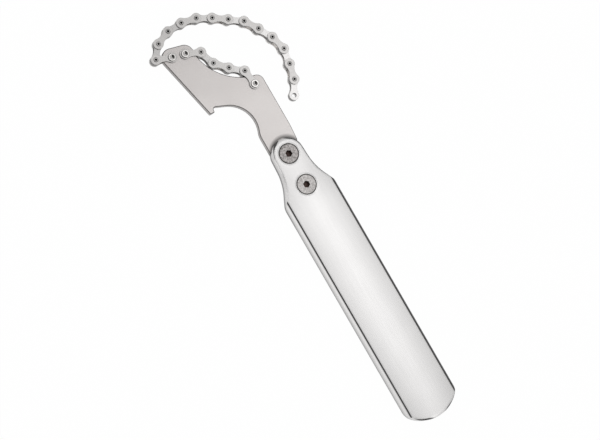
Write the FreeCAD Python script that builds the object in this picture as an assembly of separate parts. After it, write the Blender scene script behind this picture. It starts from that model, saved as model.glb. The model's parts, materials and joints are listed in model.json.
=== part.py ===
import FreeCAD, Part
import math
import os

# A bicycle chain whip with a lockring hook. All sizes are in millimetres.
# The origin is on the back face of the handle, under the front clamp screw.
# +X runs from the handle to the head, +Z is up through the face of the handle.

# Half-inch chain
PITCH = 12.7
LINK_T = 1.0
INNER_END_R = 3.95
OUTER_END_R = 4.05
WAIST_HALF = 2.35
PIN_D = 3.6
PIN_STAND = 0.45
PIN_CHAMFER = 0.3
PIN_RUN = 0.05
DIMPLE_D = 2.0
DIMPLE_DEPTH = 1.0
COLLAR_WALL = 0.9
COLLAR_SPLIT = 0.3
ROLLER_D = 7.75
ROLLER_RUN = 0.1
ROLLER_END_RUN = 0.08
SIDE_RUN = 0.1

# How the chains lie at rest: the first link's heading, then the turn at each joint, in degrees
FREE_HEADING = 71.1
FREE_TURNS = [-110.4, -27.1, -18.7, -14.6, -16.7, -6.0, -1.2, -21.9, -4.2, -14.5, -25.4, -4.2, -16.9]
SHORT_HEADING = -111.1
SHORT_TURNS = [-49.7, 26.4, 5.9, -43.5]

# Head plate
PLATE_T = 5.0
PLATE_CHAMFER = 0.55
PLATE_RUN = 0.25
FREE_RIVET_X = 108.6
FREE_RIVET_Y = 41.6
SHORT_RIVET_X = 106.2
SHORT_RIVET_Y = 31.0
HEAD_R = 7.5
CHAIN_GAP = 0.6
HEAD_CREASE_R = 5.0
RIVET_TO_EDGE = 8.8
LOBE_R = 6.0
EDGE_ANGLE = 12.94
EDGE_LENGTH = 52.4
TOOTH_HEIGHT = 3.7
TOOTH_TIP_R = 0.6
HOOK_X = 35.05
HOOK_R = 22.4
HOOK_RISE_SHARE = 0.866
HOOK_FLANK_ANGLE = 68.0
HOOK_FLANK_LENGTH = 11.5
HOOK_CORNER_R = 2.0
NECK_LEFT = 11.4
NECK_LEFT_R = 15.0
NECK_RIGHT = 13.6
NECK_RIGHT_X = 20.0
SHOULDER_X = 5.6
SHOULDER_CORNER_R = 2.0

# Tongue of the plate and the pocket in the handle
TONGUE_W = 18.0
TONGUE_PAST_SCREW = 10.6
POCKET_RUN = 0.15

# Rivets
RIVET_D = 4.0
RIVET_HEAD_D = 6.4
RIVET_HEAD_T = 0.8
RIVET_HEAD_RUN = 0.1
RIVET_CHAMFER = 0.35
RIVET_DIMPLE_D = 4.0
LOOP_RUN = 0.5

# Handle
HANDLE_T = 10.5
HANDLE_HALF = 23.1
HANDLE_END = 233.5
SHOULDER_W = 2.9
FACE_DROP = 0.8
SHOULDER_R = 4.4
BACK_R = 2.0
NECK_R = 13.1
NECK_TAPER = 2.5
NECK_FLARE = 26.6
NECK_BEND_X = -17.5
NECK_BEND_SHARE = 4.5
NECK_CORNER_SHARE = 1.2
END_BOW_SHARE = 1.212
END_CORNER_SHARE = 0.52
RIM_R = 2.4
RIM_RISE = 0.05

# Clamp screws
SCREW_PITCH = 27.4
SCREW_D = 8.0
SCREW_HOLE_RUN = 0.2
SCREW_HEAD_D = 15.9
SCREW_RIM = 0.6
SCREW_SINK = 0.1
SCREW_SEAT_RUN = 0.2
HEX_AF = 5.0
HEX_DEPTH = 3.6

# How far cutting solids run past what they cut
PAST = 1.0
# How near two points are to count as one
TOUCH = 1e-4

# Worked out from the values above
MID_Z = PLATE_T / 2
OUTER_GAP = PLATE_T + 2 * PLATE_RUN
INNER_WIDTH = OUTER_GAP - 2 * SIDE_RUN
INNER_GAP = INNER_WIDTH - 2 * LINK_T
COLLAR_BORE = PIN_D + 2 * PIN_RUN
COLLAR_D = COLLAR_BORE + 2 * COLLAR_WALL
HOOK_Y = NECK_LEFT + HOOK_RISE_SHARE * HOOK_R
FACE_HALF = HANDLE_HALF - SHOULDER_W
NECK_BEND_R = NECK_BEND_SHARE * (HANDLE_HALF - NECK_R)
NECK_CORNER_R = NECK_CORNER_SHARE * (HANDLE_HALF - NECK_R)
END_R = END_BOW_SHARE * HANDLE_HALF
END_CORNER_R = END_CORNER_SHARE * HANDLE_HALF
TONGUE_REACH = SCREW_PITCH + TONGUE_PAST_SCREW
UP = FreeCAD.Vector(0, 0, 1)


def vec(x, y, z=0.0):
    return FreeCAD.Vector(x, y, z)


def direction(degrees):
    """A unit vector in the XY plane at an angle from +X."""
    turn = math.radians(degrees)
    return vec(math.cos(turn), math.sin(turn))


def line(a, b):
    return Part.LineSegment(a, b).toShape()


def arc(a, middle, b):
    return Part.Arc(a, middle, b).toShape()


def polygon(points):
    """A flat face with straight sides."""
    return Part.Face(Part.makePolygon(points + points[:1]))


def disc(centre, radius, z0, z1):
    """An upright cylinder between two heights."""
    return Part.makeCylinder(radius, z1 - z0, vec(centre.x, centre.y, z0), UP)


def prism(face, z0, z1):
    moved = face.translated(vec(0, 0, z0))
    return moved.extrude(vec(0, 0, z1 - z0))


def revolved(outline, centre):
    """A turned solid from its half outline, given as (radius, height) pairs."""
    face = polygon([vec(r, 0, z) for r, z in outline])
    return face.revolve(vec(0, 0, 0), UP, 360).translated(vec(centre.x, centre.y, 0))


def upright_edges(solid, corners, reach=0.05):
    """The vertical edges of a solid that stand at the given corners."""
    found = []
    for edge in solid.Edges:
        ends = [v.Point for v in edge.Vertexes]
        if len(ends) != 2:
            continue
        if vec(ends[0].x - ends[1].x, ends[0].y - ends[1].y).Length > reach:
            continue
        if any(vec(ends[0].x - c.x, ends[0].y - c.y).Length < reach for c in corners):
            found.append(edge)
    return found


def rounded(solid, corners, radius):
    """The solid with its vertical edges at the given corners rounded."""
    return solid.makeFillet(radius, upright_edges(solid, corners)).Solids[0]


def flat_edges(solid, z):
    """The edges of a solid that lie at one height."""
    return [e for e in solid.Edges if all(abs(v.Z - z) < TOUCH for v in e.Vertexes)]


def save(name, solids):
    shape = solids[0] if len(solids) == 1 else Part.makeCompound(solids)
    shape.exportStep("parts/" + name + ".step")


def joint_points(start, heading, turns):
    """The joints of a chain, and the heading of each link."""
    points = [start]
    headings = [heading]
    for turn in turns:
        headings.append(headings[-1] + turn)
    for angle in headings:
        points.append(points[-1] + direction(angle) * PITCH)
    return points, headings


def circle_through(a, b, c):
    """Centre and radius of the circle through three points."""
    curve = Part.Circle(a, b, c)
    return curve.Center, curve.Radius


def link_face(end_r):
    """One chain plate's outline along +X: two round ends and a waist whose arcs are tangent to them."""
    half = PITCH / 2
    waist_r = (half ** 2 + WAIST_HALF ** 2 - end_r ** 2) / (2 * (end_r - WAIST_HALF))
    waist_y = WAIST_HALF + waist_r
    share = end_r / (end_r + waist_r)
    touch_x, touch_y = half * share, waist_y * share
    left_low, left_high = vec(touch_x, -touch_y), vec(touch_x, touch_y)
    right_low, right_high = vec(PITCH - touch_x, -touch_y), vec(PITCH - touch_x, touch_y)
    edges = [
        arc(left_high, vec(-end_r, 0), left_low),
        arc(left_low, vec(half, -WAIST_HALF), right_low),
        arc(right_low, vec(PITCH + end_r, 0), right_high),
        arc(right_high, vec(half, WAIST_HALF), left_high),
    ]
    return Part.Face(Part.Wire(edges))


def placed(shape, start, heading):
    """A link's shape moved from the X axis to its place in the chain."""
    turned = shape.rotated(vec(0, 0, 0), UP, heading)
    return turned.translated(vec(start.x, start.y, 0))


def outer_plates(bores):
    """Two outer plates, with a bore diameter at each end."""
    solids = []
    for z0 in (MID_Z - OUTER_GAP / 2 - LINK_T, MID_Z + OUTER_GAP / 2):
        plate = prism(link_face(OUTER_END_R), z0, z0 + LINK_T)
        for x, bore in zip((0, PITCH), bores):
            plate = plate.cut(disc(vec(x, 0), bore / 2, z0 - PAST, z0 + LINK_T + PAST))
        solids.append(plate)
    return solids


def inner_plates():
    """Two inner plates, each with a half collar drawn inwards round both bores."""
    collar_h = (INNER_GAP - COLLAR_SPLIT) / 2
    solids = []
    for side in (-1, 1):
        face_z = MID_Z + side * INNER_GAP / 2
        outside_z = face_z + side * LINK_T
        collar_z = face_z - side * collar_h
        z0, z1 = sorted((face_z, outside_z))
        plate = prism(link_face(INNER_END_R), z0, z1)
        for x in (0, PITCH):
            z0, z1 = sorted((collar_z, outside_z))
            plate = plate.fuse(disc(vec(x, 0), COLLAR_D / 2, z0, z1))
        for x in (0, PITCH):
            plate = plate.cut(disc(vec(x, 0), COLLAR_BORE / 2, z0 - PAST, z1 + PAST))
        solids.append(plate.removeSplitter())
    return solids


def spindle(centre, diameter, half_length, chamfer, dimple_d):
    """A pin with chamfered, dimpled ends."""
    low, high = MID_Z - half_length, MID_Z + half_length
    radius = diameter / 2
    return revolved([
        (0, low + DIMPLE_DEPTH),
        (dimple_d / 2, low),
        (radius - chamfer, low),
        (radius, low + chamfer),
        (radius, high - chamfer),
        (radius - chamfer, high),
        (dimple_d / 2, high),
        (0, high - DIMPLE_DEPTH),
    ], centre)


def chain_pin(centre):
    half_length = OUTER_GAP / 2 + LINK_T + PIN_STAND
    return spindle(centre, PIN_D, half_length, PIN_CHAMFER, DIMPLE_D)


def rivet(centre):
    """A shouldered rivet that carries a chain end on the plate."""
    under_head = OUTER_GAP / 2 + LINK_T + RIVET_HEAD_RUN
    top = under_head + RIVET_HEAD_T
    head_r = RIVET_HEAD_D / 2
    half = [
        (0, top - DIMPLE_DEPTH),
        (RIVET_DIMPLE_D / 2, top),
        (head_r - RIVET_CHAMFER, top),
        (head_r, top - RIVET_CHAMFER),
        (head_r, under_head),
        (RIVET_D / 2, under_head),
    ]
    upper = [(r, MID_Z + z) for r, z in half]
    lower = [(r, MID_Z - z) for r, z in reversed(half)]
    return revolved(upper + lower, centre)


def roller(centre):
    half_width = INNER_GAP / 2 - ROLLER_END_RUN
    outside = disc(centre, ROLLER_D / 2, MID_Z - half_width, MID_Z + half_width)
    bore_r = COLLAR_D / 2 + ROLLER_RUN
    return outside.cut(disc(centre, bore_r, MID_Z - half_width - PAST, MID_Z + half_width + PAST))


def tongue(width, reach, front, z0, z1):
    """A bar with a round end that points to -X, for the tongue and its pocket."""
    half = width / 2
    bar = Part.makeBox(front + reach - half, width, z1 - z0, vec(half - reach, -half, z0))
    return bar.fuse(disc(vec(half - reach, 0), half, z0, z1)).removeSplitter()


def head_plate(free_rivet, short_joints):
    """The flat plate: rounded tip, straight edge, tooth, hook, neck, lobe, chain edge and tongue."""
    first, last = short_joints[0], short_joints[-1]
    chain_centre, chain_r = circle_through(short_joints[1], short_joints[2], short_joints[4])
    edge_r = chain_r + INNER_END_R + CHAIN_GAP
    right_y = last.y - RIVET_TO_EDGE

    along = direction(EDGE_ANGLE)
    outward = direction(EDGE_ANGLE + 90)
    edge_top = free_rivet + outward * HEAD_R
    edge_end = edge_top - along * EDGE_LENGTH
    tooth_tip = edge_end - vec(0, TOOTH_HEIGHT)

    hook = vec(HOOK_X, HOOK_Y)
    flank_start = hook + direction(HOOK_FLANK_ANGLE - 90) * HOOK_R
    flank_end = flank_start + direction(HOOK_FLANK_ANGLE) * HOOK_FLANK_LENGTH
    neck_x = HOOK_X - math.sqrt(HOOK_R ** 2 - (HOOK_Y - NECK_LEFT) ** 2)
    neck_corner = vec(neck_x, NECK_LEFT)
    shoulder = vec(SHOULDER_X, -NECK_RIGHT)

    straight = [
        neck_corner,
        vec(SHOULDER_X, NECK_LEFT),
        shoulder,
        vec(NECK_RIGHT_X, right_y),
        vec(chain_centre.x, right_y),
        first,
        free_rivet,
        edge_top,
        edge_end,
        tooth_tip,
        flank_end,
        flank_start,
    ]
    edges = [line(a, b) for a, b in zip(straight, straight[1:])]
    edges.append(arc(flank_start, hook - vec(0, HOOK_R), neck_corner))
    plate = prism(Part.Face(Part.Wire(edges)), 0, PLATE_T)
    plate = plate.cut(disc(chain_centre, edge_r, -PAST, PLATE_T + PAST))

    side = (free_rivet - first).cross(UP)
    side.normalize()
    tip = polygon([first, first + side * HEAD_R, free_rivet + side * HEAD_R, free_rivet])
    plate = plate.fuse([
        prism(tip, 0, PLATE_T),
        disc(first, HEAD_R, 0, PLATE_T),
        disc(free_rivet, HEAD_R, 0, PLATE_T),
        tongue(TONGUE_W, TONGUE_REACH, SHOULDER_X, 0, PLATE_T),
    ]).removeSplitter()

    drop = right_y - chain_centre.y
    lobe_corner = vec(chain_centre.x - math.sqrt(edge_r ** 2 - drop ** 2), right_y)
    plate = rounded(plate, [lobe_corner], LOBE_R)
    plate = rounded(plate, [neck_corner], NECK_LEFT_R)
    plate = rounded(plate, [flank_end], HOOK_CORNER_R)
    plate = rounded(plate, [shoulder], SHOULDER_CORNER_R)
    plate = rounded(plate, [tooth_tip, edge_end], TOOTH_TIP_R)
    creases = [v.Point for v in plate.Vertexes
               if abs((vec(v.X, v.Y) - first).Length - HEAD_R) < TOUCH
               and abs((vec(v.X, v.Y) - chain_centre).Length - edge_r) < TOUCH]
    plate = rounded(plate, creases, HEAD_CREASE_R)
    plate = plate.makeChamfer(PLATE_CHAMFER, flat_edges(plate, PLATE_T))

    for centre in (free_rivet, first, last):
        plate = plate.cut(disc(centre, RIVET_D / 2, -PAST, PLATE_T + PAST))
    for x in (0, -SCREW_PITCH):
        plate = plate.cut(disc(vec(x, 0), SCREW_D / 2, -PAST, PLATE_T + PAST))
    return plate


def handle_contour():
    """The handle seen from above, with rounded rims: round neck, flare to full width and a bowed end."""
    taper = math.tan(math.radians(NECK_TAPER))
    flare = math.tan(math.radians(NECK_FLARE))
    touch = vec(NECK_R * math.sin(math.radians(NECK_TAPER)), NECK_R * math.cos(math.radians(NECK_TAPER)))
    bend = vec(NECK_BEND_X, touch.y + (touch.x - NECK_BEND_X) * taper)
    corner = vec(NECK_BEND_X - (HANDLE_HALF - bend.y) / flare, HANDLE_HALF)
    end_centre_x = END_R - HANDLE_END
    end_corner = vec(end_centre_x - math.sqrt(END_R ** 2 - HANDLE_HALF ** 2), HANDLE_HALF)

    def mirrored(p):
        return vec(p.x, -p.y)

    upper = [end_corner, corner, bend, touch]
    edges = [line(a, b) for a, b in zip(upper, upper[1:])]
    edges.append(arc(touch, vec(NECK_R, 0), mirrored(touch)))
    lower = [mirrored(p) for p in reversed(upper)]
    edges += [line(a, b) for a, b in zip(lower, lower[1:])]
    edges.append(arc(mirrored(end_corner), vec(-HANDLE_END, 0), end_corner))
    top = HANDLE_T + RIM_RISE
    block = prism(Part.Face(Part.Wire(edges)), 0, top)
    block = rounded(block, [bend, mirrored(bend)], NECK_BEND_R)
    block = rounded(block, [corner, mirrored(corner)], NECK_CORNER_R)
    block = rounded(block, [end_corner, mirrored(end_corner)], END_CORNER_R)
    block = block.makeFillet(BACK_R, flat_edges(block, 0)).Solids[0]
    return block.makeFillet(RIM_R, flat_edges(block, top))


def handle_section():
    """The bar's section in the YZ plane: flat back, upright sides, round shoulders and a slightly domed face."""
    face_z = HANDLE_T - FACE_DROP
    centre_y = HANDLE_HALF - SHOULDER_R
    start = math.acos((FACE_HALF - centre_y) / SHOULDER_R)
    side_z = face_z - SHOULDER_R * math.sin(start)
    half_y = centre_y + SHOULDER_R * math.cos(start / 2)
    half_z = side_z + SHOULDER_R * math.sin(start / 2)
    edges = [
        line(vec(0, -HANDLE_HALF, 0), vec(0, HANDLE_HALF, 0)),
        line(vec(0, HANDLE_HALF, 0), vec(0, HANDLE_HALF, side_z)),
        arc(vec(0, HANDLE_HALF, side_z), vec(0, half_y, half_z), vec(0, FACE_HALF, face_z)),
        arc(vec(0, FACE_HALF, face_z), vec(0, 0, HANDLE_T), vec(0, -FACE_HALF, face_z)),
        arc(vec(0, -FACE_HALF, face_z), vec(0, -half_y, half_z), vec(0, -HANDLE_HALF, side_z)),
        line(vec(0, -HANDLE_HALF, side_z), vec(0, -HANDLE_HALF, 0)),
    ]
    return Part.Face(Part.Wire(edges))


def screw_seat(x, run, top):
    """The space of a countersunk head: a short rim over a 90 degree cone."""
    head_r = SCREW_HEAD_D / 2
    rim_z = HANDLE_T - SCREW_SINK - SCREW_RIM
    cone_h = head_r - SCREW_D / 2
    cone = Part.makeCone(SCREW_D / 2, head_r, cone_h, vec(x, 0, rim_z - cone_h), UP)
    return cone.fuse(disc(vec(x, 0), head_r + run, rim_z, top))


def handle():
    """The bar cut to its contour, with the pocket for the tongue and two countersunk holes."""
    bar = handle_section().translated(vec(-HANDLE_END - PAST, 0, 0))
    bar = bar.extrude(vec(HANDLE_END + NECK_R + 2 * PAST, 0, 0))
    body = handle_contour().common(bar).removeSplitter()
    pocket = tongue(TONGUE_W + 2 * POCKET_RUN, TONGUE_REACH + POCKET_RUN, SHOULDER_X, -PAST, PLATE_T)
    opening = Part.makeBox(NECK_R, 4 * NECK_R, PLATE_T + PAST, vec(SHOULDER_X - POCKET_RUN, -2 * NECK_R, -PAST))
    body = body.cut(pocket.fuse(opening))
    for x in (0, -SCREW_PITCH):
        body = body.cut(disc(vec(x, 0), SCREW_D / 2 + SCREW_HOLE_RUN, 0, HANDLE_T))
        body = body.cut(screw_seat(x, SCREW_SEAT_RUN, HANDLE_T + PAST))
    return body


def clamp_screw(x):
    """A countersunk screw with a hex socket, threaded into the plate."""
    top = HANDLE_T - SCREW_SINK
    body = disc(vec(x, 0), SCREW_D / 2, 0, top - SCREW_RIM)
    body = body.fuse(screw_seat(x, 0, top)).removeSplitter()
    corner_r = HEX_AF / math.sqrt(3)
    hexagon = polygon([vec(x, 0) + direction(60 * k) * corner_r for k in range(6)])
    return body.cut(prism(hexagon, top - HEX_DEPTH, top + PAST))


def make_chain(name, joints, headings, first_bore, last_bore, digits):
    """Saves the links, pins and rollers of a chain that starts with an outer link."""
    count = len(headings)
    for number in range(1, count + 1):
        start, heading = joints[number - 1], headings[number - 1]
        label = name + "_link_" + str(number).zfill(digits)
        if number % 2 == 0:
            save(label + "_plates", [placed(s, start, heading) for s in inner_plates()])
            continue
        bores = [PIN_D, PIN_D]
        pins = [chain_pin(start), chain_pin(joints[number])]
        if number == 1:
            bores[0] = first_bore
            pins = pins[1:]
        if number == count:
            bores[1] = last_bore
            pins = pins[:-1]
        save(label + "_plates", [placed(s, start, heading) for s in outer_plates(bores)])
        save(label + "_pins", pins)
    last_roller = count if count % 2 == 0 else count - 1
    for number in range(1, last_roller + 1):
        save(name + "_roller_" + str(number).zfill(digits), [roller(joints[number])])


def main():
    os.makedirs("parts", exist_ok=True)
    free_rivet = vec(FREE_RIVET_X, FREE_RIVET_Y)
    short_rivet = vec(SHORT_RIVET_X, SHORT_RIVET_Y)
    free_joints, free_headings = joint_points(free_rivet, FREE_HEADING, FREE_TURNS)
    short_joints, short_headings = joint_points(short_rivet, SHORT_HEADING, SHORT_TURNS)

    save("handle", [handle()])
    save("head_plate", [head_plate(free_rivet, short_joints)])
    save("clamp_screw_front", [clamp_screw(0)])
    save("clamp_screw_rear", [clamp_screw(-SCREW_PITCH)])
    save("rivet_free_chain", [rivet(free_rivet)])
    save("rivet_short_chain_front", [rivet(short_rivet)])
    save("rivet_short_chain_rear", [rivet(short_joints[-1])])

    running = RIVET_D + 2 * PIN_RUN
    make_chain("free", free_joints, free_headings, running, PIN_D, 2)
    make_chain("short", short_joints, short_headings, running, RIVET_D + 2 * LOOP_RUN, 1)


main()
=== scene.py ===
import json
import math

import bpy
from mathutils import Matrix, Vector


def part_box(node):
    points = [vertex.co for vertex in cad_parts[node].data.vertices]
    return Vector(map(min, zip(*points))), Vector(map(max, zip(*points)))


# The looks of a bicycle chain whip. Everything is in metres, in the frame of the CAD model:
# +X runs from the handle to the head, +Z is up through the face of the handle.

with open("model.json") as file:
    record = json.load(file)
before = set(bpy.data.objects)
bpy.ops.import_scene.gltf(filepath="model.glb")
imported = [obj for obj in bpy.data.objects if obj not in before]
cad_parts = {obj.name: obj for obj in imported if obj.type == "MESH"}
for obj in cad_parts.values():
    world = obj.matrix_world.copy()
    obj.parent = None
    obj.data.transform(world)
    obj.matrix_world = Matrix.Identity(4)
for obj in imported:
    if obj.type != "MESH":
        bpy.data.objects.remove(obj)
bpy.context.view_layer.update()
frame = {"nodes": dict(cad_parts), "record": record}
nodes = frame["nodes"]
MM = 0.001


# Node material helpers

def new_material(name):
    """A node material with one Principled shader on its output."""
    material = bpy.data.materials.new(name)
    material.use_nodes = True
    tree = material.node_tree
    tree.nodes.clear()
    output = tree.nodes.new("ShaderNodeOutputMaterial")
    shader = tree.nodes.new("ShaderNodeBsdfPrincipled")
    tree.links.new(shader.outputs["BSDF"], output.inputs["Surface"])
    return material, tree, shader


def add(tree, kind, **values):
    """A new node with its properties and its sockets' plain values set by name."""
    node = tree.nodes.new(kind)
    for key, value in values.items():
        if hasattr(node, key):
            setattr(node, key, value)
        else:
            node.inputs[key.replace("_", " ")].default_value = value
    return node


def coordinates(tree, scale, centre=(0, 0, 0)):
    """Object coordinates, moved to a centre and scaled on each axis."""
    source = tree.nodes.new("ShaderNodeTexCoord")
    shift = tree.nodes.new("ShaderNodeVectorMath")
    shift.operation = "SUBTRACT"
    shift.inputs[1].default_value = centre
    stretch = tree.nodes.new("ShaderNodeVectorMath")
    stretch.operation = "MULTIPLY"
    stretch.inputs[1].default_value = scale
    tree.links.new(source.outputs["Object"], shift.inputs[0])
    tree.links.new(shift.outputs["Vector"], stretch.inputs[0])
    return stretch.outputs["Vector"]


def axis_value(tree, output, axis):
    """One axis of the object coordinates or of the normal."""
    source = tree.nodes.new("ShaderNodeTexCoord")
    split = tree.nodes.new("ShaderNodeSeparateXYZ")
    tree.links.new(source.outputs[output], split.inputs[0])
    return split.outputs[axis]


def noise(tree, vector, scale, detail):
    node = add(tree, "ShaderNodeTexNoise", Scale=scale, Detail=detail, Roughness=0.5)
    tree.links.new(vector, node.inputs["Vector"])
    return node.outputs["Fac"]


def ramp(tree, factor, stops):
    """A colour ramp from (position, grey or colour) stops."""
    node = tree.nodes.new("ShaderNodeValToRGB")
    elements = node.color_ramp.elements
    while len(elements) < len(stops):
        elements.new(0.5)
    for element, (position, value) in zip(elements, stops):
        element.position = position
        colour = (value, value, value) if isinstance(value, (int, float)) else value
        element.color = (*colour, 1.0)
    tree.links.new(factor, node.inputs["Fac"])
    return node.outputs["Color"]


def spread(tree, value, first, last):
    """0 to 1 as a value goes from first to last."""
    node = add(tree, "ShaderNodeMapRange", From_Min=first, From_Max=last)
    tree.links.new(value, node.inputs["Value"])
    return node.outputs["Result"]


def graded(tree, value, stops, first, last):
    """A grey from (value, share) stops, for values from first to last."""
    places = [((place - first) / (last - first), share) for place, share in stops]
    return ramp(tree, spread(tree, value, first, last), places)


def radial(tree, centre, first, last):
    """0 to 1 as the distance from a centre, seen along Z, goes from first to last."""
    place = coordinates(tree, (1, 1, 0), centre)
    away = add(tree, "ShaderNodeVectorMath", operation="LENGTH")
    tree.links.new(place, away.inputs[0])
    return spread(tree, away.outputs["Value"], first, last)


def mapped(tree, factor, low, high):
    """The factor's 0.3 to 0.7 range stretched from low to high."""
    node = add(tree, "ShaderNodeMapRange", From_Min=0.3, From_Max=0.7, To_Min=low, To_Max=high)
    tree.links.new(factor, node.inputs["Value"])
    return node.outputs["Result"]


def edge_round(tree, radius):
    node = add(tree, "ShaderNodeBevel", samples=6)
    node.inputs["Radius"].default_value = radius
    return node.outputs["Normal"]


def bump(tree, height, strength, distance, normal):
    node = add(tree, "ShaderNodeBump", Strength=strength, Distance=distance)
    tree.links.new(height, node.inputs["Height"])
    tree.links.new(normal, node.inputs["Normal"])
    return node.outputs["Normal"]


def darkened(tree, colour, share):
    """The colour times a grey share."""
    node = add(tree, "ShaderNodeMix", data_type="RGBA", blend_type="MULTIPLY")
    node.inputs["Factor"].default_value = 1.0
    tree.links.new(colour, node.inputs["A"])
    tree.links.new(share, node.inputs["B"])
    return node.outputs["Result"]


# Shares: greys that darken a metal by place or by the way a surface turns, as painted shade and painted
# dark reflections

def depth_share(tree, middle, top, deep, depth):
    """1 at the two end faces of a pin or screw, falling to painted shade below them."""
    place = axis_value(tree, "Object", "Z")
    height = add(tree, "ShaderNodeMath", operation="SUBTRACT")
    height.inputs[1].default_value = middle
    tree.links.new(place, height.inputs[0])
    away = add(tree, "ShaderNodeMath", operation="ABSOLUTE")
    tree.links.new(height.outputs[0], away.inputs[0])
    reach = top - middle
    return ramp(tree, spread(tree, away.outputs[0], reach - depth, reach), [(0.0, deep), (0.9, 1.0)])


def rim_share(tree, centre, radius, width, dark):
    """1 inside a turned head, and painted shade over a ring of some width at its rim."""
    return ramp(tree, radial(tree, centre, radius - width, radius), [(0.0, 1.0), (0.45, dark)])


def shadow_patch_share(tree, centre, radius, width, dark):
    """Painted shadow: dark inside a circle and 1 outside it, over a soft width."""
    return ramp(tree, radial(tree, centre, radius, radius + width), [(0.0, dark), (1.0, 1.0)])


def place_share(tree, axis, stops):
    """A grey by the place along one axis, from (metres, share) stops."""
    return graded(tree, axis_value(tree, "Object", axis), stops, stops[0][0], stops[-1][0])


def turn_share(tree, stops):
    """A painted grey of dark reflections by how far a surface turns to -Y or +Y, from (the normal's Y,
    share) stops.
    """
    return graded(tree, axis_value(tree, "Normal", "Y"), stops, -1.0, 1.0)


def wall_share(tree, stops, level=(0.25, 0.8), reach=None):
    """1 on level faces. Walls get painted shade by their height, a grey from (metres, share) stops.
    The normal's share of +Z or -Z goes from wall to level over the level range. Reach is where along X the
    walls come in."""
    normal_z = axis_value(tree, "Normal", "Z")
    upright = add(tree, "ShaderNodeMath", operation="ABSOLUTE")
    tree.links.new(normal_z, upright.inputs[0])
    faces = ramp(tree, upright.outputs[0], [(level[0], 0.0), (level[1], 1.0)])
    if reach is not None:
        lighter = add(tree, "ShaderNodeMath", operation="MAXIMUM")
        tree.links.new(faces, lighter.inputs[0])
        tree.links.new(place_share(tree, "X", [(reach[0], 1.0), (reach[1], 0.0)]), lighter.inputs[1])
        faces = lighter.outputs[0]
    mix = add(tree, "ShaderNodeMix", data_type="RGBA")
    tree.links.new(faces, mix.inputs["Factor"])
    tree.links.new(place_share(tree, "Z", stops), mix.inputs["A"])
    mix.inputs["B"].default_value = (1, 1, 1, 1)
    return mix.outputs["Result"]


# Materials, one for each finish

def metal(name, dark, light, rough_low, rough_high, grain, edge, grain_depth, grain_strength,
          shares=(), tone_scale=35.0):
    """Bare metal: two close tones, a fine grain and slightly rounded edges.
    The shares paint shade and dark reflections on it in places."""
    material, tree, shader = new_material(name)
    shader.inputs["Metallic"].default_value = 1.0
    fine = noise(tree, coordinates(tree, grain), 1.0, 3.0)
    broad = noise(tree, coordinates(tree, (1, 1, 1)), tone_scale, 2.0)
    colour = ramp(tree, broad, [(0.3, dark), (0.7, light)])
    for make_share in shares:
        colour = darkened(tree, colour, make_share(tree))
    tree.links.new(colour, shader.inputs["Base Color"])
    tree.links.new(mapped(tree, fine, rough_low, rough_high), shader.inputs["Roughness"])
    rounded = edge_round(tree, edge)
    tree.links.new(bump(tree, fine, grain_strength, grain_depth, rounded), shader.inputs["Normal"])
    return material


# Walls by height, painted shade: the chain's are dark in the upper plates, the handle's and plate's at
# their feet
CHAIN_WALLS = [(-1.2 * MM, 0.95), (1.5 * MM, 0.85), (2.6 * MM, 0.08), (6.2 * MM, 0.05)]
HANDLE_WALLS = [(0.0, 0.06), (2.0 * MM, 0.26), (4.5 * MM, 0.6), (7.5 * MM, 0.92)]
NECK_WALLS = [(0.0, 0.7), (4.6 * MM, 0.4), (5.2 * MM, 1.0)]
NECK_REACH = (-0.058, -0.042)
PLATE_WALLS = [(0.0, 0.2), (1.5 * MM, 0.6), (3.5 * MM, 0.6), (4.7 * MM, 0.2)]
PLATE_LEVEL = (0.72, 0.95)
# Faces by place, painted light and shade: the outer links' upper faces, then how each metal darkens across
# or along the tool
OUTER_UPPER = [(5.5 * MM, 1.0), (6.0 * MM, 0.74)]
OUTER_ACROSS = [(-0.02, 1.0), (0.03, 0.88)]
INNER_ACROSS = [(-0.035, 1.0), (-0.01, 0.84), (0.02, 0.69), (0.04, 0.62)]
HANDLE_ALONG = [(-0.045, 1.0), (-0.02, 0.87)]
PLATE_ALONG = [(0.015, 1.0), (0.06, 0.96), (0.11, 0.83)]
# Painted dark reflections where a surface turns away: along the handle's shoulders and on one side of the
# rivets
HANDLE_TURNS = [(-0.97, 1.0), (-0.9, 0.1), (-0.22, 0.1), (-0.12, 0.95), (-0.08, 1.0), (0.09, 1.0),
                (0.13, 0.8), (0.19, 0.1), (0.52, 0.1), (0.62, 0.9), (1.0, 1.0)]
RIVET_TURNS = [(-1.0, 0.9), (-0.1, 1.0), (0.06, 1.0), (0.16, 0.08), (0.7, 0.1)]
# Painted shadow on the plate round the neck's end, centred a little off the front screw
NECK_SHADOW_OFF = 1.0 * MM
NECK_SHADOW_R = 13.1 * MM
NECK_SHADOW_EDGE = 2.5 * MM
NECK_SHADOW_DARK = 0.35
# Painted shade in pins and screws below their end faces, and a painted dark ring at a screw's rim
PIN_DEEP = 0.02
PIN_DEPTH = 0.15 * MM
SOCKET_DEEP = (0.15, 0.11, 0.10)
SOCKET_DEPTH = 0.5 * MM
RIM_WIDTH = 0.8 * MM
RIM_DARK = 0.15


def end_faces(node, deep, depth):
    """A share that leaves a node's lowest and highest faces bright and paints shade on what lies deeper.
    """
    low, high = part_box(node)
    middle = (low[2] + high[2]) / 2
    return lambda tree: depth_share(tree, middle, high[2], deep, depth)


def screw_material(node, dark, light):
    """Turned steel with painted shade in its socket and a painted dark ring at the rim."""
    low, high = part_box(node)
    centre = ((low[0] + high[0]) / 2, (low[1] + high[1]) / 2, 0)
    radius = (high[1] - low[1]) / 2
    return metal(
        node + "_steel", dark, light, 0.34, 0.50,
        (1500, 1500, 1500), 0.15 * MM, 0.04 * MM, 0.5,
        [lambda tree: depth_share(tree, 0.0, high[2], SOCKET_DEEP, SOCKET_DEPTH),
         lambda tree: rim_share(tree, centre, radius, RIM_WIDTH, RIM_DARK)], tone_scale=900.0)


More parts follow.
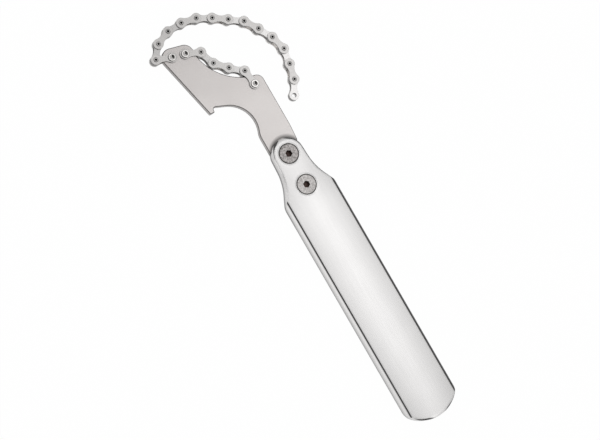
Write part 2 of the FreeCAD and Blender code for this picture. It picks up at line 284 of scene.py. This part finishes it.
def make_materials():
    """The material of each slot, and one for each of the two screws."""
    chain_walls = [lambda tree: wall_share(tree, CHAIN_WALLS)]
    outer_tops = [
        lambda tree: place_share(tree, "Z", OUTER_UPPER),
        lambda tree: place_share(tree, "Y", OUTER_ACROSS)]
    inner_tops = [lambda tree: place_share(tree, "Y", INNER_ACROSS)]
    handle_shares = [
        lambda tree: wall_share(tree, HANDLE_WALLS),
        lambda tree: wall_share(tree, NECK_WALLS, reach=NECK_REACH),
        lambda tree: place_share(tree, "X", HANDLE_ALONG),
        lambda tree: turn_share(tree, HANDLE_TURNS)]
    screw_low, screw_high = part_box("clamp_screw_front")
    # The centre of the painted shadow on the plate round the neck's end
    neck_end = (
        (screw_low[0] + screw_high[0]) / 2 + NECK_SHADOW_OFF,
        (screw_low[1] + screw_high[1]) / 2 - NECK_SHADOW_OFF,
        0)
    plate_shares = [
        lambda tree: wall_share(tree, PLATE_WALLS, PLATE_LEVEL),
        lambda tree: place_share(tree, "X", PLATE_ALONG),
        lambda tree: shadow_patch_share(tree, neck_end, NECK_SHADOW_R, NECK_SHADOW_EDGE, NECK_SHADOW_DARK)]
    return {
        "handle_aluminium": metal(
            "handle_aluminium", (0.81, 0.80, 0.795), (0.84, 0.83, 0.825), 0.17, 0.21,
            (40, 700, 700), 2.6 * MM, 0.02 * MM, 0.03, handle_shares),
        "plate_steel": metal(
            "plate_steel", (0.715, 0.68, 0.665), (0.765, 0.73, 0.715), 0.32, 0.38,
            (1600, 1600, 1600), 0.3 * MM, 0.01 * MM, 0.12, plate_shares),
        "rivet_steel": metal(
            "rivet_steel", (0.60, 0.585, 0.57), (0.68, 0.66, 0.645), 0.10, 0.16,
            (1400, 1400, 1400), 0.2 * MM, 0.02 * MM, 0.15,
            [lambda tree: turn_share(tree, RIVET_TURNS)]),
        "chain_outer_steel": metal(
            "chain_outer_steel", (0.80, 0.78, 0.765), (0.88, 0.86, 0.845), 0.22, 0.30,
            (1400, 1400, 1400), 0.3 * MM, 0.01 * MM, 0.15, chain_walls + outer_tops),
        "chain_inner_steel": metal(
            "chain_inner_steel", (0.80, 0.785, 0.775), (0.88, 0.865, 0.855), 0.24, 0.32,
            (1400, 1400, 1400), 0.3 * MM, 0.01 * MM, 0.15, chain_walls + inner_tops),
        "pin_steel": metal(
            "pin_steel", (0.44, 0.43, 0.42), (0.54, 0.53, 0.52), 0.26, 0.36,
            (1800, 1800, 1800), 0.15 * MM, 0.02 * MM, 0.3,
            [end_faces("free_link_01_pins", PIN_DEEP, PIN_DEPTH)]),
        "clamp_screw_front": screw_material("clamp_screw_front", (0.25, 0.235, 0.225), (0.64, 0.61, 0.60)),
        "clamp_screw_rear": screw_material("clamp_screw_rear", (0.40, 0.38, 0.37), (0.76, 0.735, 0.72)),
        # The rollers' near-black tone is painted shade in the gaps between the chain's plates.
        "roller_steel": metal(
            "roller_steel", (0.14, 0.135, 0.13), (0.20, 0.195, 0.19), 0.24, 0.32,
            (1200, 1200, 1200), 0.25 * MM, 0.01 * MM, 0.1),
    }


def dress_nodes():
    """Gives every CAD node the material of its slot."""
    materials = make_materials()
    for part in frame["record"]["subparts"]:
        node, slot = part["node"], part["material_slot"]
        mesh = nodes[node].data
        mesh.materials.clear()
        mesh.materials.append(materials[node if slot == "screw_steel" else slot])


dress_nodes()


# Floor and the studio round it

FLOOR_Z = -2.2 * MM
FLOOR_HALF = 6.0
# How much of the floor is plain white to each kind of ray. The rest is shaded.
FLOOR_WHITE = [("Is Camera Ray", 0.985), ("Is Transmission Ray", 0.985), ("Is Glossy Ray", 0.7)]
# The tent's radius, half its length, and how many degrees it goes down on each side from +Z
TENT_R = 2.5
TENT_HALF = 3.0
TENT_REACH = 95.0
TENT_STEPS = 48
TENT_PEAK = 1.4
ALONG_PEAK = 1.4
# Light by the angle from +Z towards +Y, in degrees: round the handle, and beyond the head
TENT_ROUND = [(-95, 0.8), (-56, 0.75), (-40, 0.72), (-32, 0.74), (-26, 0.88), (-18, 1.32), (-8.5, 0.9),
              (-3, 0.76), (6, 0.7), (44, 0.72), (56, 0.95), (70, 1.2), (95, 1.0)]
TENT_BEYOND = [(-95, 0.8), (-30, 0.7), (-17, 0.8), (-8, 0.8), (2, 1.3), (60, 1.2), (95, 1.0)]
# Where along X the light goes from the first to the second
BEYOND_X = (0.75, 1.05)
# Light by the place along X, in metres
TENT_ALONG = [(-3.0, 1.0), (-1.2, 0.95), (-0.85, 0.66), (-0.56, 0.69), (-0.45, 0.88), (-0.3, 0.99),
              (-0.05, 0.95), (0.0, 0.85), (0.1, 1.0), (0.15, 1.4), (0.3, 1.35), (0.45, 0.65), (0.6, 0.6),
              (1.0, 1.0), (3.0, 1.0)]


def place_in_scene(name, data):
    placed = bpy.data.objects.new(name, data)
    bpy.context.scene.collection.objects.link(placed)
    return placed


def make_floor():
    """A white floor under the tool, with soft contact shadows."""
    mesh = bpy.data.meshes.new("floor")
    sides = ((-1, -1), (1, -1), (1, 1), (-1, 1))
    corners = [(x * FLOOR_HALF, y * FLOOR_HALF, FLOOR_Z) for x, y in sides]
    mesh.from_pydata(corners, [], [(0, 1, 2, 3)])
    floor = place_in_scene("floor", mesh)
    material, tree, shader = new_material("floor_white")
    shader.inputs["Base Color"].default_value = (0.86, 0.86, 0.86, 1)
    shader.inputs["Roughness"].default_value = 0.9
    shader.inputs["Specular IOR Level"].default_value = 0.1
    white = add(tree, "ShaderNodeEmission", Strength=1.0)
    path = tree.nodes.new("ShaderNodeLightPath")
    share = None
    for ray, part in FLOOR_WHITE:
        step = add(tree, "ShaderNodeMath", operation="MULTIPLY_ADD")
        step.inputs[1].default_value = part
        tree.links.new(path.outputs[ray], step.inputs[0])
        if share is None:
            step.inputs[2].default_value = 0.0
        else:
            tree.links.new(share, step.inputs[2])
        share = step.outputs[0]
    mix = tree.nodes.new("ShaderNodeMixShader")
    tree.links.new(share, mix.inputs["Fac"])
    tree.links.new(shader.outputs["BSDF"], mix.inputs[1])
    tree.links.new(white.outputs["Emission"], mix.inputs[2])
    output = next(n for n in tree.nodes if n.type == "OUTPUT_MATERIAL")
    tree.links.new(mix.outputs[0], output.inputs["Surface"])
    mesh.materials.append(material)


def tent_mesh():
    """A half round tunnel along X with both ends closed."""
    rim = []
    for k in range(TENT_STEPS + 1):
        turn = math.radians(-TENT_REACH + 2 * TENT_REACH * k / TENT_STEPS)
        rim.append((TENT_R * math.sin(turn), TENT_R * math.cos(turn)))
    points = [(x, y, z) for x in (-TENT_HALF, TENT_HALF) for y, z in rim]
    row = TENT_STEPS + 1
    faces = [(k, k + 1, row + k + 1, row + k) for k in range(TENT_STEPS)]
    faces.append(tuple(range(row)))
    faces.append(tuple(range(row, 2 * row)))
    mesh = bpy.data.meshes.new("tent")
    mesh.from_pydata(points, [], faces)
    return mesh


def tent_light():
    """Light that changes round the object and along it, as soft boxes and flags make it."""
    material = bpy.data.materials.new("tent_light")
    material.use_nodes = True
    tree = material.node_tree
    tree.nodes.clear()
    output = tree.nodes.new("ShaderNodeOutputMaterial")
    light = add(tree, "ShaderNodeEmission", Strength=TENT_PEAK * ALONG_PEAK)
    tree.links.new(light.outputs["Emission"], output.inputs["Surface"])
    place = tree.nodes.new("ShaderNodeTexCoord")
    split = tree.nodes.new("ShaderNodeSeparateXYZ")
    tree.links.new(place.outputs["Object"], split.inputs[0])
    angle = add(tree, "ShaderNodeMath", operation="ARCTAN2")
    tree.links.new(split.outputs["Y"], angle.inputs[0])
    tree.links.new(split.outputs["Z"], angle.inputs[1])
    reach = math.radians(TENT_REACH)
    round_share = spread(tree, angle.outputs[0], -reach, reach)
    turned = add(tree, "ShaderNodeMix", data_type="RGBA")
    tree.links.new(spread(tree, split.outputs["X"], *BEYOND_X), turned.inputs["Factor"])
    for socket, light_round in (("A", TENT_ROUND), ("B", TENT_BEYOND)):
        stops = [((a + TENT_REACH) / (2 * TENT_REACH), v / TENT_PEAK) for a, v in light_round]
        tree.links.new(ramp(tree, round_share, stops), turned.inputs[socket])
    along_stops = [(x, v / ALONG_PEAK) for x, v in TENT_ALONG]
    along = graded(tree, split.outputs["X"], along_stops, -TENT_HALF, TENT_HALF)
    tree.links.new(darkened(tree, turned.outputs["Result"], along), light.inputs["Color"])
    return material


def make_tent():
    """The light tent. Reflections and shading see it and the camera doesn't."""
    mesh = tent_mesh()
    tent = place_in_scene("tent", mesh)
    mesh.materials.append(tent_light())
    tent.visible_camera = False


def make_world():
    world = bpy.data.worlds.new("studio")
    world.use_nodes = True
    background = world.node_tree.nodes["Background"]
    background.inputs["Color"].default_value = (1, 1, 1, 1)
    background.inputs["Strength"].default_value = 1.0
    bpy.context.scene.world = world


# The camera's three axes, place and lens, as fitted to the photograph

CAMERA_RIGHT = (-0.500155, -0.826902, 0.257057)
CAMERA_UP = (0.865932, -0.476775, 0.151150)
CAMERA_BACK = (-0.002428, 0.298193, 0.954503)
CAMERA_PLACE = (-0.052558, 0.483331, 1.496180)
SENSOR_WIDTH = 36.0
LENS = 121.4157


def make_camera():
    """The photograph's view: a long lens, leaning about 17 degrees to the +Y side."""
    data = bpy.data.cameras.new("camera")
    camera = place_in_scene("camera", data)
    turn = Matrix((Vector(CAMERA_RIGHT), Vector(CAMERA_UP), Vector(CAMERA_BACK))).transposed()
    camera.matrix_world = Matrix.Translation(CAMERA_PLACE) @ turn.to_4x4()
    data.sensor_width = SENSOR_WIDTH
    data.lens = LENS
    data.clip_start = 0.1
    data.clip_end = 50.0
    bpy.context.scene.camera = camera


make_floor()
make_tent()
make_world()
make_camera()

bpy.context.scene.view_settings.view_transform = "Standard"
